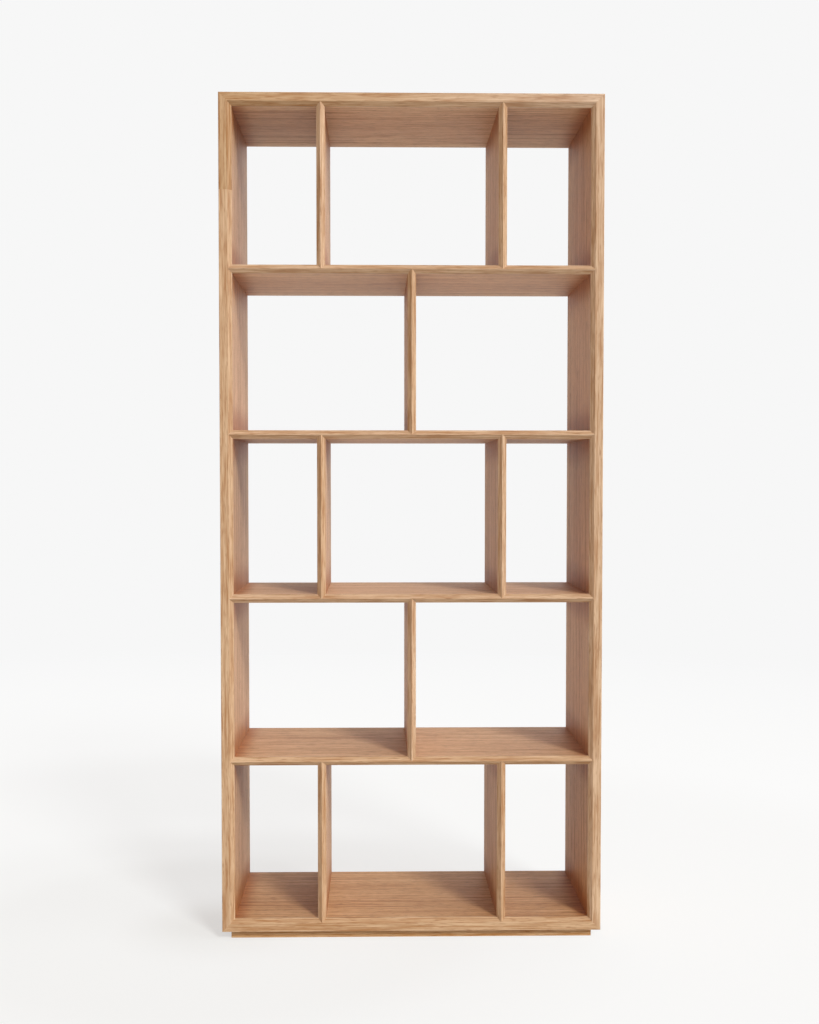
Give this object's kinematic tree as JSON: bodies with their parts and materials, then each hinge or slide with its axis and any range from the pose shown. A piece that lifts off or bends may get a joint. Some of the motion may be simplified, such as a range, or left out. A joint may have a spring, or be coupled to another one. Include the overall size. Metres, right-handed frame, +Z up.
{
  "type": "open bookcase",
  "caption": "Tall open-backed oak bookcase on a set-back plinth, with a mitred frame, full-width shelves and staggered dividers, its front edges bevelled to ridges.",
  "frame": {"origin": "on the floor, under the middle of the case", "axes": "+Z up, +X to the right when facing the front, +Y from the bevelled front to the back"},
  "size_m": [0.904, 0.4, 2],
  "materials": {
    "oak_veneered_board": "matt lacquered oak veneer",
    "solid_oak": "matt lacquered solid oak",
    "plywood": "raw",
    "beech": "raw",
    "screw_steel": "zinc plated"
  },
  "bodies": {
    "root": {"bottom_board": "oak_veneered_board", "bottom_lipping": "solid_oak", "corner_spline_bottom_left": "plywood", "corner_spline_bottom_right": "plywood", "corner_spline_top_left": "plywood", "corner_spline_top_right": "plywood", "divider_1_left": "oak_veneered_board", "divider_1_left_nosing": "solid_oak", "divider_1_right": "oak_veneered_board", "divider_1_right_nosing": "solid_oak", "divider_2_middle": "oak_veneered_board", "divider_2_middle_nosing": "solid_oak", "divider_3_left": "oak_veneered_board", "divider_3_left_nosing": "solid_oak", "divider_3_right": "oak_veneered_board", "divider_3_right_nosing": "solid_oak", "divider_4_middle": "oak_veneered_board", "divider_4_middle_nosing": "solid_oak", "divider_5_left": "oak_veneered_board", "divider_5_left_nosing": "solid_oak", "divider_5_right": "oak_veneered_board", "divider_5_right_nosing": "solid_oak", "divider_dowels": "beech", "left_lipping_lower": "solid_oak", "left_lipping_upper": "solid_oak", "plinth_back": "solid_oak", "plinth_front": "solid_oak", "plinth_left": "solid_oak", "plinth_right": "solid_oak", "plinth_screws": "screw_steel", "right_lipping": "solid_oak", "shelf_1": "oak_veneered_board", "shelf_1_nosing": "solid_oak", "shelf_2": "oak_veneered_board", "shelf_2_nosing": "solid_oak", "shelf_3": "oak_veneered_board", "shelf_3_nosing": "solid_oak", "shelf_4": "oak_veneered_board", "shelf_4_nosing": "solid_oak", "shelf_dowels": "beech", "side_left": "oak_veneered_board", "side_right": "oak_veneered_board", "top_board": "oak_veneered_board", "top_lipping": "solid_oak"}
  },
  "joints": []
}
